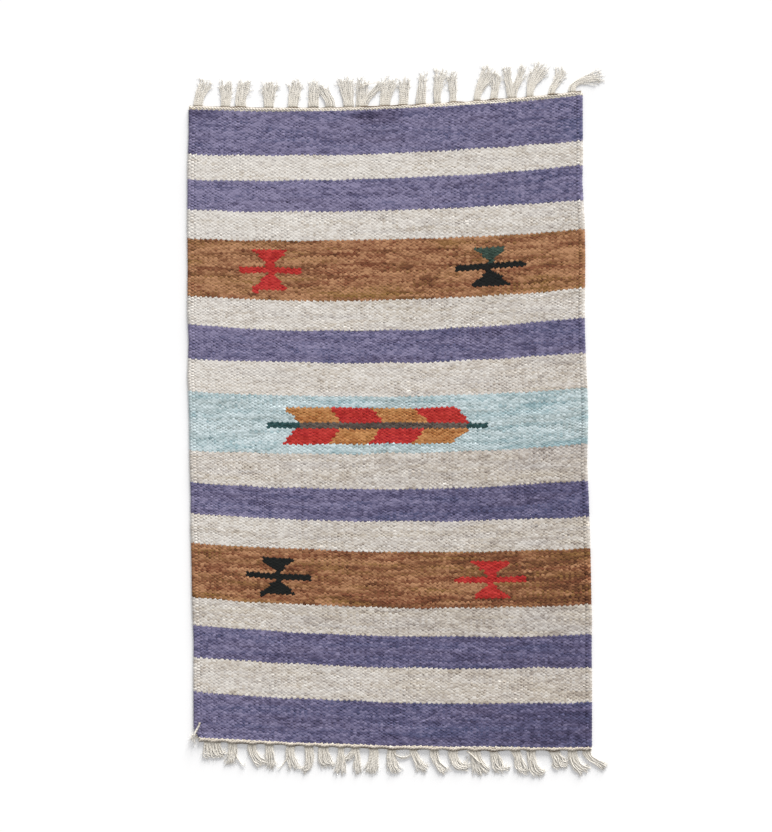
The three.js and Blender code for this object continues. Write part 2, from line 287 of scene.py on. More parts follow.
# Yarns that have strayed, as points in x and y, with their height over the floor.
STRAYS = {
    "far": table(
        "points high",
        (((-47, 512), (-36, 518), (-27, 520), (-14, 522)), 2.5),
    ),
    "near": table(
        "points high",
        (((-287, -444), (-289, -451), (-293, -458), (-295, -466)), 5.9),
        (((-285.6, -444), (-287.8, -451), (-291.6, -458), (-294, -466)), 5.7),
        (((-286.3, -445), (-288.5, -452), (-292.4, -459), (-294.6, -467)), 6.6),
        (((-290, -463), (-296, -467), (-296, -474)), 3.6),
        (((-289, -466), (-294, -470), (-293, -476)), 2.8),
        (((-291, -462), (-298, -464), (-299, -470)), 1.8),
        (((4, -487), (11, -494), (20, -497), (29, -494), (35, -487)), 2.2),
        (((6, -489), (14, -497), (22, -499), (30, -496), (36, -489)), 1.4),
        (((-234, -490), (-229, -499), (-224, -506), (-219, -510)), 1.6),
        (((-151, -494), (-157, -502), (-162, -509), (-168, -513)), 1.6),
        (((116, -488), (124, -493), (132, -501), (140, -505)), 3.6),
    ),
}

# The floor, the light and the camera
FLOOR_COLOUR = "#ffffff"
FLOOR_HALF = 9000.0
SKY_COLOUR = "#fdfdff"
WINDOW = {"wide": 26, "tilt": -76, "turn": -17.5, "place": (3.8, 12.0, 3.1), "colour": (1.0, 0.99, 0.97)}
PHOTO_SIZE = (772, 832)
PHOTO_MM = 1.51  # one of the photo's pixels on the floor
ORIGIN_PIXEL = (389.5, 428.0)
CAMERA_HEIGHT = 4000.0
SENSOR = 36.0


# Numbers

def mix(a, b, t):
    return a + (b - a) * t


def hashed(i, j, seed):
    """The same number from 0 to 1 on every run for each pair of whole numbers."""
    s = np.sin(np.asarray(i) * 12.9898 + np.asarray(j) * 78.233 + seed * 37.719) * 43758.5453
    return s - np.floor(s)


def streak(x, row, seed):
    """Smooth noise along x, from -1 to 1, with a new one for each row."""
    cell = np.floor(x)
    t = x - cell
    t = t * t * (3 - 2 * t)
    return mix(hashed(cell, row, seed), hashed(cell + 1, row, seed), t) * 2 - 1


def cloud(x, y, seed):
    """Smooth noise over x and y, from -1 to 1."""
    cell = np.floor(y)
    t = y - cell
    t = t * t * (3 - 2 * t)
    return mix(streak(x, cell, seed), streak(x, cell + 1, seed), t)


# The cloth's own coordinates

def band_picks():
    """Picks in each band: an even number, so the beads keep their order from band to band."""
    lines = [b["far"] for b in BANDS] + [NEAR_LINE]
    heights = [np.mean(np.subtract(a, b)) for a, b in zip(lines, lines[1:])]
    return [2 * round(h / (2 * PICK)) for h in heights]


PICKS = band_picks()
STARTS = np.concatenate([[0], np.cumsum(PICKS)])
PICK_COUNT = int(STARTS[-1])
LINES = np.array([b["far"] for b in BANDS] + [NEAR_LINE])
SIDES = np.array([b["sides"] for b in BANDS])


def rib_lines():
    """Where each rib begins, as parts of the rug's width; the selvedge ribs are thicker."""
    wide = 1 + RIB_SPREAD * (hashed(np.arange(RIBS), 0, 14) - 0.5) * 2
    wide[:SELVEDGE_RIBS] = wide[-SELVEDGE_RIBS:] = SELVEDGE_GAIN
    return np.concatenate([[0], np.cumsum(wide)]) / wide.sum()


RIB_LINES = rib_lines()


def band_of(pick):
    return np.clip(np.searchsorted(STARTS, pick, side="right") - 1, 0, len(BANDS) - 1)


def cloth_xy(pick, across):
    """x and y at so many picks from the far edge and part of the width. Past an edge lies a header."""
    inside = np.clip(pick, 0, PICK_COUNT)
    band = band_of(np.minimum(inside, PICK_COUNT - 1e-6))
    v = band + (inside - STARTS[band]) / np.asarray(PICKS)[band]
    at = np.clip(v - 0.5, 0, len(BANDS) - 1.001)
    near = np.floor(at).astype(int)
    sides = [mix(SIDES[near, s], SIDES[near + 1, s], at - near) for s in (0, 1)]
    x = mix(sides[0], sides[1], across)
    u = np.clip(x / HALF_LINE, -1.05, 1.05)

    def line(row):
        left, middle, right = LINES[row, 0], LINES[row, 1], LINES[row, 2]
        return middle + (right - left) / 2 * u + ((right + left) / 2 - middle) * u * u

    y = mix(line(band), line(band + 1), v - band)
    straight = FEATHER_LINE - (line(band) + line(band + 1)) / 2
    y = y + np.where(band == FEATHER_BAND, 4 * (v - band) * (1 - v + band) * (1 - u ** 4) * straight, 0)
    y = y - (pick - inside) * HEADER_PICK
    down = np.clip((inside - PICK_COUNT) / TUCK["picks"] + 1, 0, 1)
    x = x + TUCK["in"] * down ** 2 * np.clip(1 - across / TUCK["across"], 0, 1)
    return x, y


def edge_y(x, out):
    """y of the cloth's far (out = 1) or near (out = -1) edge at x."""
    left, middle, right = LINES[0] if out > 0 else LINES[-1]
    u = np.asarray(x) / HALF_LINE
    return middle + (right - left) / 2 * u + ((right + left) / 2 - middle) * u * u


def wave(x, y):
    """How the open cloth lies: low, wide swells."""
    along = np.sin(x / SWELL["x"][0] + y / SWELL["y"][0])
    back = np.cos(y / SWELL["y"][1] - x / SWELL["x"][1])
    ripple = cloud(x / RIPPLE["x"], y / RIPPLE["y"], 5)
    return SWELL["high"] * along * back + RIPPLE["high"] * ripple


# The chart

def yarn_of(rib, pick):
    """The yarn of the bead on each rib and pick, as an index into YARNS."""
    order = list(YARNS)
    code = {name: order.index(name) for name in order}
    band = band_of(pick)
    found = np.array([code[b["yarn"]] for b in BANDS])[band]
    found = np.where((pick < 0) | (pick >= PICK_COUNT), code["cotton"], found)
    across = (RIB_LINES[rib] + RIB_LINES[rib + 1]) / 2
    x, _ = cloth_xy(pick + 0.5, across)

    for number, fig in enumerate(FIGURES):
        here = band == fig["band"]
        off = pick + 0.5 - STARTS[fig["band"]] - fig["bar"]
        ragged = 1.6 * (hashed(pick, number, 3) - 0.5)
        dx = np.abs(x - fig["x"] + ragged)
        top, bar, base = fig["half"]
        up = FIGURE_NECK + (top - FIGURE_NECK) * np.clip((-off - 3) / (fig["up"] - 4), 0, 1)
        down = FIGURE_NECK + (base - FIGURE_NECK) * np.clip((off - 3.2) / (fig["down"] - 4.2), 0, 1)
        in_up = here & (off < 0) & (off > -fig["up"]) & (dx < up)
        in_down = here & (off >= 0) & (off < fig["down"]) & (dx < down)
        in_bar = here & (np.abs(off) < BAR_HALF_PICKS) & (dx < bar)
        from_middle = x - fig["x"]
        foot = (off >= fig["down"]) & (off < fig["down"] + fig["foot"])
        in_down = in_down | (here & foot & (from_middle > FOOT[0]) & (from_middle < FOOT[1]))
        for mask, yarn in zip((in_up, in_down, in_bar), (fig["yarns"][0], fig["yarns"][2], fig["yarns"][1])):
            found = np.where(mask, code[yarn], found)

    part = (pick + 0.5 - STARTS[FEATHER_BAND]) / PICKS[FEATHER_BAND]
    here = band == FEATHER_BAND
    for vane in VANES:
        t = (part - vane["from"]) / (vane["to"] - vane["from"])
        inside = here & (t > 0) & (t < 1)
        for yarn, a, b in zip(vane["blocks"], vane["slants"], vane["slants"][1:]):
            mask = inside & (x > mix(a[0], a[1], t)) & (x < mix(b[0], b[1], t))
            found = np.where(mask, code[yarn], found)
    stem = here & (part > STEM["from"]) & (part < STEM["to"]) & (x > STEM["x"][0]) & (x < STEM["x"][1])
    middle = stem & (x > STEM["middle"][0]) & (x < STEM["middle"][1])
    found = np.where(stem, code["teal"], found)
    return np.where(middle, code["umber"], found)


def smudge_and_shade(x, y, what):
    """The sum of the smudges and the painted shade at a point, in tone or in dye."""
    total = 0.0
    for s in SMUDGES_AND_SHADE:
        away = ((x - s["x"]) / s["half"][0]) ** 2 + ((y - s["y"]) / s["half"][1]) ** 2
        total = total + s[what] * np.exp(-away ** 1.5)
    return total


def tone_of(rib, pick, yarn):
    """How light each bead is: its band's tone, partly painted light, its own chance, the streaks of its pick,
    and the drift of the dye, with the smudges and the painted shade at the far left corner.
    """
    across = (RIB_LINES[rib] + RIB_LINES[rib + 1]) / 2
    x, y = cloth_xy(pick + 0.5, across)
    strength = np.array([YARNS[name]["streak"] for name in YARNS])[yarn]
    # The band's tone at its left and right, partly painted light that falls off to the right.
    ends = np.array([b["tone"] for b in BANDS])[band_of(pick)]
    ground = [list(YARNS).index(b["yarn"]) for b in BANDS]
    tone = mix(ends[..., 0], ends[..., 1], across) * np.where(np.isin(yarn, ground), 1.0, FIGURE_TONE)
    tone = tone + BEAD_CHANCE * (hashed(rib, pick, 1) - 0.5)
    for row in STREAKS:
        tone = tone + strength * row["weight"] * streak(x / row["length"], pick // row["picks"], row["seed"])
    tone = tone + strength * PATCHES["weight"] * cloud(x / PATCHES["x"], pick / PATCHES["picks"], 4)
    alternate = (-1.0) ** pick * cloud(x / RIBBING["x"], pick / RIBBING["picks"], 9)
    tone = tone + strength * RIBBING["weight"] * alternate
    return tone + smudge_and_shade(x, y, "tone")


def dye_of(rib, pick):
    """How far each bead's dye has drifted to its warm tint (-1) or its cool one (1), in long streaks."""
    across = (RIB_LINES[rib] + RIB_LINES[rib + 1]) / 2
    x, y = cloth_xy(pick + 0.5, across)
    drift = DYE["streak"] * streak(x / DYE["length"], pick, 51)
    drift = drift + DYE["patch"] * cloud(x / DYE["x"], pick / DYE["picks"], 52)
    drift = drift + DYE["bead"] * (hashed(rib, pick, 53) - 0.5)
    return np.clip(drift * DYE["gain"] + smudge_and_shade(x, y, "dye"), -1, 1)


# Meshes

def make_mesh(name, points, groups, materials, material_index=None, smooth=True):
    """An object from points in mm and groups of faces, each an array with a row of point numbers per face."""
    mesh = bpy.data.meshes.new(name)
    groups = [np.asarray(g, dtype=np.int32) for g in groups if len(g)]
    sizes = np.concatenate([np.full(len(g), g.shape[1], dtype=np.int32) for g in groups])
    loops = np.concatenate([g.ravel() for g in groups])
    mesh.vertices.add(len(points))
    mesh.vertices.foreach_set("co", (np.asarray(points) * MM).astype(np.float32).ravel())
    mesh.loops.add(len(loops))
    mesh.loops.foreach_set("vertex_index", loops)
    mesh.polygons.add(len(sizes))
    mesh.polygons.foreach_set("loop_start", np.concatenate([[0], np.cumsum(sizes)[:-1]]).astype(np.int32))
    for material in materials:
        mesh.materials.append(material)
    if material_index is not None:
        mesh.polygons.foreach_set("material_index", material_index.astype(np.int32))
    mesh.update(calc_edges=True)
    mesh.validate()
    if smooth:
        mesh.shade_smooth()
    piece = bpy.data.objects.new(name, mesh)
    bpy.context.scene.collection.objects.link(piece)
    return piece


def add_attribute(piece, name, domain, values):
    layer = piece.data.attributes.new(name, "FLOAT", domain)
    layer.data.foreach_set("value", np.asarray(values, dtype=np.float32).ravel())


def add_uv(piece, name, uv):
    layer = piece.data.uv_layers.new(name=name)
    layer.uv.foreach_set("vector", np.asarray(uv, dtype=np.float32).ravel())


def corner_points(piece):
    index = np.empty(len(piece.data.loops), dtype=np.int32)
    piece.data.loops.foreach_get("vertex_index", index)
    return index


def folded_uv(piece, points, fold, folds, fold_of_corner):
    """A flat map for baking: the long strip is cut into folds laid above one another."""
    x, y = points[:, 0], points[:, 1]
    corner = corner_points(piece)
    span = (x.max() - x.min()) / folds + 6
    tall = y.max() - y.min() + 3
    size = max(span, tall * folds)
    u = (x[corner] - x.min() - fold_of_corner * (x.max() - x.min()) / folds + 2) / size
    v = (y[corner] - y.min() + 1 + fold_of_corner * tall) / size
    add_uv(piece, fold, np.stack([u, v], axis=1))


# Materials

def to_linear(code):
    """A linear colour from one written as #rrggbb in sRGB."""
    parts = [int(code[i:i + 2], 16) / 255 for i in (1, 3, 5)]
    return [c / 12.92 if c <= 0.04045 else ((c + 0.055) / 1.055) ** 2.4 for c in parts] + [1.0]


def new_material(name):
    """A material with only its Principled shader and output."""
    material = bpy.data.materials.new(name)
    material.use_nodes = True
    return material, material.node_tree, material.node_tree.nodes["Principled BSDF"]


def node(tree, kind, inputs=None, **settings):
    """Adds a node, sets its properties, and links or sets its inputs."""
    made = tree.nodes.new(kind)
    for key, value in settings.items():
        setattr(made, key, value)
    for socket, source in (inputs or {}).items():
        if isinstance(source, bpy.types.NodeSocket):
            tree.links.new(source, made.inputs[socket])
        else:
            made.inputs[socket].default_value = source
    return made


def shades(tree, level, dark, body, light):
    """A yarn's colour, from its grooves and painted shade through its body to its raised fibres."""
    made = node(tree, "ShaderNodeValToRGB", {"Fac": level})
    stops = made.color_ramp.elements
    stops[0].color, stops[1].color = to_linear(dark), to_linear(light)
    stops.new(0.5).color = to_linear(body)
    return made.outputs["Color"]


def weighed(tree, total, *parts):
    """total plus each part times its weight."""
    for part, weight in parts:
        made = node(tree, "ShaderNodeMath", {0: part, 1: weight, 2: total}, operation="MULTIPLY_ADD")
        total = made.outputs["Value"]
    return total


def fibre(tree, drawn, size, detail=3.0):
    """Noise of loose fibres, drawn out along the yarn. size is in mm, drawn per axis.

    Real fibres are 0.02 to 0.04 mm thick and too fine to show, so they are drawn as locks of 0.7 mm and more.
    """
    place = node(tree, "ShaderNodeTexCoord").outputs["Object"]
    along = node(tree, "ShaderNodeMapping", {"Vector": place, "Scale": drawn}, vector_type="POINT")
    inputs = {"Vector": along.outputs["Vector"], "Scale": 1 / (size * MM), "Detail": detail}
    return node(tree, "ShaderNodeTexNoise", inputs).outputs["Fac"]


def wool_weft(spec):
    """Carded wool, spun by hand, dyed in small lots and beaten down hard over the warp.

    So no two beads have quite the same tone or dye, the gaps round them get painted shade, and pale fibres
    stand up from them along the weft. Wool scatters light and has hardly a highlight: rough, with a faint
    sheen.
    """
    material, tree, shader = new_material(spec["name"])
    tone, painted_lit, dye = (node(tree, "ShaderNodeAttribute", attribute_name=name).outputs["Fac"]
                        for name in ("tone", "painted_lit", "dye"))
    fuzz = fibre(tree, LOCK["drawn"], LOCK["size"])
    slub = fibre(tree, SLUB["drawn"], SLUB["size"], 2.0)
    # Painted shade: the colour darkens towards the gaps, as the bead's painted light falls to 0.
    gap = node(tree, "ShaderNodeMath", {0: 1.0, 1: painted_lit}, operation="SUBTRACT").outputs["Value"]
    gap = node(tree, "ShaderNodeMath", {0: gap, 1: GAP_SHADE_FALL}, operation="POWER").outputs["Value"]
    level = weighed(tree, tone, (gap, -spec["gap"]), (fuzz, LOCK["tone"]), (slub, SLUB["tone"]))
    level = node(tree, "ShaderNodeMath", {0: level, 1: TONE_SHIFT}, operation="ADD").outputs["Value"]
    colour = shades(tree, level, spec["dark"], spec["body"], spec["light"])
    for end, tint in zip((-1.0, 1.0), spec["tints"]):
        share = node(tree, "ShaderNodeMapRange", {"Value": dye, "From Max": end, "To Max": TINT_MOST})
        tinted = shades(tree, level, spec["dark"], tint, spec["light"])
        inputs = {0: share.outputs["Result"], 6: colour, 7: tinted}
        colour = node(tree, "ShaderNodeMix", inputs, data_type="RGBA").outputs[2]
    tree.links.new(colour, shader.inputs["Base Color"])
    shader.inputs["Roughness"].default_value = 0.92
    shader.inputs["Specular IOR Level"].default_value = 0.2
    shader.inputs["Sheen Weight"].default_value = 0.08
    shader.inputs["Sheen Roughness"].default_value = 0.6
    bump = node(tree, "ShaderNodeBump", {"Height": fuzz, "Strength": 0.6, "Distance": 0.4 * MM})
    tree.links.new(bump.outputs["Normal"], shader.inputs["Normal"])
    return material


def cotton_warp(name, dark, body, light, plies=0.1, rough=0.5):
    """Undyed cotton, spun and plied: slanted plies that are painted lighter and darker in turn, a painted
    highlight and shade for how they catch the light, short fibres, and the tone given to each point.

    plies is how much the plies' painted highlight and shade change the tone, rough how far they stand out.
    """
    material, tree, shader = new_material(name)
    lie = node(tree, "ShaderNodeUVMap", uv_map="yarn").outputs["UV"]
    split = node(tree, "ShaderNodeSeparateXYZ", {"Vector": lie})
    turn = weighed(tree, split.outputs["X"], (split.outputs["Y"], 1.0))
    turn = node(tree, "ShaderNodeMath", {0: turn, 1: 2 * math.pi}, operation="MULTIPLY").outputs["Value"]
    ply = node(tree, "ShaderNodeMath", {0: turn}, operation="SINE").outputs["Value"]
    fuzz = fibre(tree, (1.0, 1.0, 1.0), 0.7)
    tone = node(tree, "ShaderNodeAttribute", attribute_name="tone").outputs["Fac"]
    # The plies' painted highlight and shade go into the colour.
    level = weighed(tree, tone, (ply, plies), (fuzz, 0.5))
    colour = shades(tree, level, dark, body, light)
    tree.links.new(colour, shader.inputs["Base Color"])
    shader.inputs["Roughness"].default_value = 0.88
    shader.inputs["Specular IOR Level"].default_value = 0.3
    shader.inputs["Sheen Weight"].default_value = 0.1
    height = weighed(tree, ply, (fuzz, 0.5))
    bump = node(tree, "ShaderNodeBump", {"Height": height, "Strength": rough, "Distance": 0.2 * MM})
    tree.links.new(bump.outputs["Normal"], shader.inputs["Normal"])
    return material


def floor_material():
    """Matt white paint rolled on a smooth board: no grain and no highlight, only the rug's soft shadow."""
    material, tree, shader = new_material("painted studio floor")
    shader.inputs["Base Color"].default_value = to_linear(FLOOR_COLOUR)
    shader.inputs["Roughness"].default_value = 0.95
    shader.inputs["Specular IOR Level"].default_value = 0.1
    return material


def weft_materials():
    """One material per yarn, in the order of YARNS, made once."""
    return [bpy.data.materials.get(spec["name"]) or wool_weft(spec) for spec in YARNS.values()]


# The woven face

def weave(name, first, last, relief):
    """The face from one pick to another: a lattice of beads, two columns to a rib and two rows to a pick."""
    rows = np.arange(2 * first, 2 * last + 1)
    far_end, near_end = first < 0, last > PICK_COUNT
    columns = np.arange(2 * RIBS + 1)
    row, column = np.meshgrid(rows, columns, indexing="ij")
    rib = np.minimum(column // 2, RIBS - 1)
    odd_row = row % 2 == 1
    pick = (row - 1) // 2
    boundary = column % 2 == 0
    own = (column // 2 + pick) % 2 == 0

    bounds_at = np.arange(RIBS + 1)
    across = np.interp(column / 2, bounds_at, RIB_LINES)
    stray = WANDER * streak(across * 36, row, 61) + 2 * WANDER * cloud(across * 14, row / 8, 62)
    inner = np.clip(np.minimum(row, 2 * PICK_COUNT - row) / 4, 0, 1)
    x, y = cloth_xy(row / 2 + stray * inner, across)
    rib_wide = (x[:, -1:] - x[:, :1]) / RIBS
    edge = (column == 0) | (column == 2 * RIBS)
    push = np.where(boundary & odd_row & ~edge, np.where(own, -BULGE, BULGE), 0) * rib_wide
    x = x + push + BEAD_SLIP[0] * (hashed(row, column, 11) - 0.5) * ~edge
    y = y + BEAD_SLIP[1] * (hashed(row, column, 12) - 0.5)
    slant = SLANT * (0.3 + 1.6 * cloud(x / 33, y / 21, 7))
    y = y + np.where(boundary & odd_row, np.where(own, slant, -slant), 0)
    y = y + DRIFT["by"] * cloud(x / DRIFT["x"], y / DRIFT["y"], 6)

    # Where two yarns meet end to end, the join moves towards the pick between them.
    before, here, after = (yarn_of(rib, pick + step) for step in (-1, 0, 1))
    join = np.where(before != after, np.where(here == before, 1, -1), 0)
    y = y - np.where(~boundary & odd_row & ~own, join * TEETH * PICK / 2, 0)

    # The beads are packed unevenly: in places the gaps are closed, in others they gape, with more painted
    # shade.
    patch = PACKING["patch"] * cloud(x / PACKING["x"], y / PACKING["y"], 15)
    packed = PACKING["mean"] + patch + PACKING["bead"] * (hashed(row, column, 16) - 0.5)
    packed = np.clip(packed, *PACKING["range"])
    outer = (column < 2) | (column > 2 * RIBS - 2)
    packed = np.where(outer, OUTER_PACKING * packed, packed)
    places = {"join": boundary & odd_row, "groove": boundary, "bead": odd_row & own, "gap": odd_row}
    masks = list(places.values())
    lift, painted_lit = (np.select(masks, [LATTICE[p][n] for p in places], LATTICE["side"][n]) for n in (0, 1))
    painted_lit = 1 - (1 - painted_lit) * packed
    # The headers get half as much painted shade.
    if far_end or near_end:
        painted_lit = 0.5 + 0.5 * painted_lit
    z = FACE + relief * lift * packed + wave(x, y)
    selvedge = (column < 2 * SELVEDGE_RIBS) | (column > 2 * (RIBS - SELVEDGE_RIBS))
    z = np.where(selvedge & ~boundary, z + SELVEDGE_RISE, z)
    groove = (column == 2 * SELVEDGE_RIBS) | (column == 2 * (RIBS - SELVEDGE_RIBS))
    z = np.where(groove, z - SELVEDGE_GROOVE, z)
    z = np.where(edge, EDGE["high"] + EDGE["bead"] * (odd_row & own), z)
    x = x + np.where(edge, np.where(column == 0, -1, 1) * EDGE["bead"] * (odd_row & own), 0)

    # One more column under each selvedge and one more row past an open end close the face to the floor; they
    # get full painted shade.
    def grown(a, left, right):
        return np.concatenate([left[:, None], a, right[:, None]], axis=1)

    x = grown(x, x[:, 0] + ROLL, x[:, -1] - ROLL)
    y = grown(y, y[:, 0], y[:, -1])
    z = grown(z, z[:, 0] * 0 + EDGE["foot"], z[:, 0] * 0 + EDGE["foot"])
    painted_lit = grown(painted_lit, painted_lit[:, 0] * 0, painted_lit[:, 0] * 0)
    if far_end:
        extra = (x[:1], y[:1] - 0.3, z[:1] * 0 + EDGE["foot"], painted_lit[:1] * 0)
        x, y, z, painted_lit = (np.concatenate(pair) for pair in zip(extra, (x, y, z, painted_lit)))
        rows = np.concatenate([[rows[0] - 1], rows])
    if near_end:
        extra = (x[-1:], y[-1:] + 0.3, z[-1:] * 0 + EDGE["foot"], painted_lit[-1:] * 0)
        x, y, z, painted_lit = (np.concatenate(pair) for pair in zip((x, y, z, painted_lit), extra))
        rows = np.concatenate([rows, [rows[-1] + 1]])

    wide = x.shape[1]
    points = np.stack([x, y, z], axis=-1).reshape(-1, 3)
    cell_row, cell_column = np.meshgrid(np.arange(len(rows) - 1), np.arange(wide - 1), indexing="ij")
    a = (cell_row * wide + cell_column).ravel()
    faces = np.stack([a, a + wide, a + wide + 1, a + 1], axis=1)
    face_rib = np.clip((cell_column.ravel() - 1) // 2, 0, RIBS - 1)
    number = rows[cell_row.ravel()]
    half = (number + 1) // 2
    face_pick = np.where((face_rib + half) % 2 == 0, half, half - 1)
    face_pick = np.clip(face_pick, -HEADER_PICKS, PICK_COUNT + HEADER_PICKS - 1)
    yarn = yarn_of(face_rib, face_pick)

    piece = make_mesh(name, points, [faces], weft_materials(), yarn)
    add_attribute(piece, "tone", "FACE", tone_of(face_rib, face_pick, yarn))
    add_attribute(piece, "dye", "FACE", dye_of(face_rib, face_pick))
    add_attribute(piece, "painted_lit", "POINT", painted_lit.ravel())

    # Each bead keeps its own rounding: the edges round it are sharp.
    ends = np.empty(len(piece.data.edges) * 2, dtype=np.int32)
    piece.data.edges.foreach_get("vertices", ends)
    low, high = ends.reshape(-1, 2).min(axis=1), ends.reshape(-1, 2).max(axis=1)
    edge_column, edge_row = low % wide - 1, rows[low // wide]
    upright = high - low == wide
    end_rib = edge_column // 2
    crease = ~upright & (edge_row % 2 == 1) & ((end_rib + (edge_row - 1) // 2) % 2 == 1)
    sharp = (upright & (edge_column % 2 == 0)) | crease
    layer = piece.data.attributes.new("sharp_edge", "BOOLEAN", "EDGE")
    layer.data.foreach_set("value", sharp)

    width, tall = np.ptp(points[:, 0]), np.ptp(points[:, 1])
    folds = max(1, round(math.sqrt(width / tall)))
    fold = np.repeat(face_rib * folds // RIBS, 4)
    folded_uv(piece, points, "OFBake", folds, fold)
    return piece


def underside(name):
    """The back of the cloth: one patch per rib and two picks, flat on the floor, with the same yarns."""
    rows = np.arange(-HEADER_PICKS, PICK_COUNT + HEADER_PICKS + 1, 2)
    row, column = np.meshgrid(rows, np.arange(RIBS + 1), indexing="ij")
    x, y = cloth_xy(row.astype(float), RIB_LINES[column])
    x = x + ROLL * (column == 0) - ROLL * (column == RIBS)
    z = 0.3 * ((row // 2 + column) % 2)
    wide = RIBS + 1
    points = np.stack([x, y, z], axis=-1).reshape(-1, 3)
    cell_row, cell_column = np.meshgrid(np.arange(len(rows) - 1), np.arange(RIBS), indexing="ij")
    a = (cell_row * wide + cell_column).ravel()
    faces = np.stack([a, a + 1, a + wide + 1, a + wide], axis=1)
    rib, pick = cell_column.ravel(), rows[cell_row.ravel()] + cell_column.ravel() % 2
    pick = np.clip(pick, -HEADER_PICKS, PICK_COUNT + HEADER_PICKS - 1)
    yarn = yarn_of(rib, pick)
    piece = make_mesh(name, points, [faces], weft_materials(), yarn, smooth=False)
    add_attribute(piece, "tone", "FACE", tone_of(rib, pick, yarn))
    add_attribute(piece, "dye", "FACE", dye_of(rib, pick))
    # Painted shade on the back: the lower patches of its checker are darker.
    add_attribute(piece, "painted_lit", "POINT", 0.35 + 0.5 * ((row // 2 + column) % 2).ravel())
    folded_uv(piece, points, "OFBake", 1, np.zeros(len(faces) * 4))
    return piece


# The fringe

def tubes(name, paths, radius, material, tone, sides=5, twist=4.0):
    """Many yarns as one mesh. paths is by yarn, point and axis; radius and tone are by yarn and point."""
    count, steps, _ = paths.shape
    ahead = np.gradient(paths, axis=1)
    ahead /= np.linalg.norm(ahead, axis=2, keepdims=True) + 1e-9
    side = np.cross(ahead, np.array([0.0, 0.0, 1.0]))
    side /= np.linalg.norm(side, axis=2, keepdims=True) + 1e-9
    rise = np.cross(side, ahead)
    angle = np.arange(sides) * 2 * math.pi / sides
    ring = (np.cos(angle)[:, None] * side[:, :, None, :] + np.sin(angle)[:, None] * rise[:, :, None, :])
    points = paths[:, :, None, :] + ring * radius[:, :, None, None]
    points[..., 2] = np.maximum(points[..., 2], 0.03)
    base = (np.arange(count) * steps * sides)[:, None, None]
    step = (np.arange(steps - 1) * sides)[None, :, None]
    s = np.arange(sides)[None, None, :]
    after = (s + 1) % sides
    quads = np.stack([base + step + s, base + step + after, base + step + sides + after,
                      base + step + sides + s], axis=-1).reshape(-1, 4)
    start = np.arange(count)[:, None] * steps * sides
    caps = np.concatenate([start + np.arange(sides)[::-1],
                           start + (steps - 1) * sides + np.arange(sides)])
    piece = make_mesh(name, points.reshape(-1, 3), [quads, caps], [material])

    length = np.concatenate([np.zeros((count, 1)),
                             np.cumsum(np.linalg.norm(np.diff(paths, axis=1), axis=2), axis=1)], axis=1)
    corner = corner_points(piece)
    yarn = corner // (steps * sides)
    at = corner // sides % steps
    turn = (corner % sides) / sides
    wrap = np.tile([0, 1, 1, 0], len(quads)) * np.repeat(quads[:, 1] < quads[:, 0], 4)
    turn[:len(wrap)] += wrap
    along = length[yarn, at]
    add_uv(piece, "yarn", np.stack([turn, along / twist], axis=1))
    shelves = max(1, math.ceil(math.sqrt(count / 4)))
    stack = math.ceil(count / shelves)
    u = (yarn % shelves + 0.02 + 0.96 * along / length.max()) / shelves
    v = (yarn // shelves + 0.04 + 0.9 * turn) / stack
    add_uv(piece, "OFBake", np.stack([u, v], axis=1))
    add_attribute(piece, "tone", "POINT", np.repeat(tone, sides))
    return piece


def rotated(points, about, angle):
    """Points in x and y turned about another point, each by its own angle."""
    away = points - about
    cos, sin = np.cos(angle), np.sin(angle)
    x = away[:, 0] * cos - away[:, 1] * sin
    y = away[:, 0] * sin + away[:, 1] * cos
    return about + np.stack([x, y], axis=1)


def fringe_paths(tufts, out, work):
    """Every warp end's path: out of the cloth, under the cord to its tuft, then along its fan to the tip."""
    count = int(RIBS * work["per_rib"])
    rib = (np.arange(count) + 0.5) / work["per_rib"]
    across = np.interp(rib, np.arange(RIBS + 1), RIB_LINES)
    start_x, _ = cloth_xy(np.full(count, 0.0 if out > 0 else float(PICK_COUNT)), across)
    share = np.cumsum([t["fan"] + TUFT_LEAST for t in tufts])
    tuft_of = np.searchsorted(share / share[-1] * count, np.arange(count) + 0.5)
    paths = []
    for number, tuft in enumerate(tufts):
        own = np.flatnonzero(tuft_of == number)
        for place, warp in enumerate(own):
            side = 2 * (place + 0.5) / len(own) - 1
            paths.append(warp_end(tuft, out, work, start_x[warp], side, warp))
    return np.array(paths)


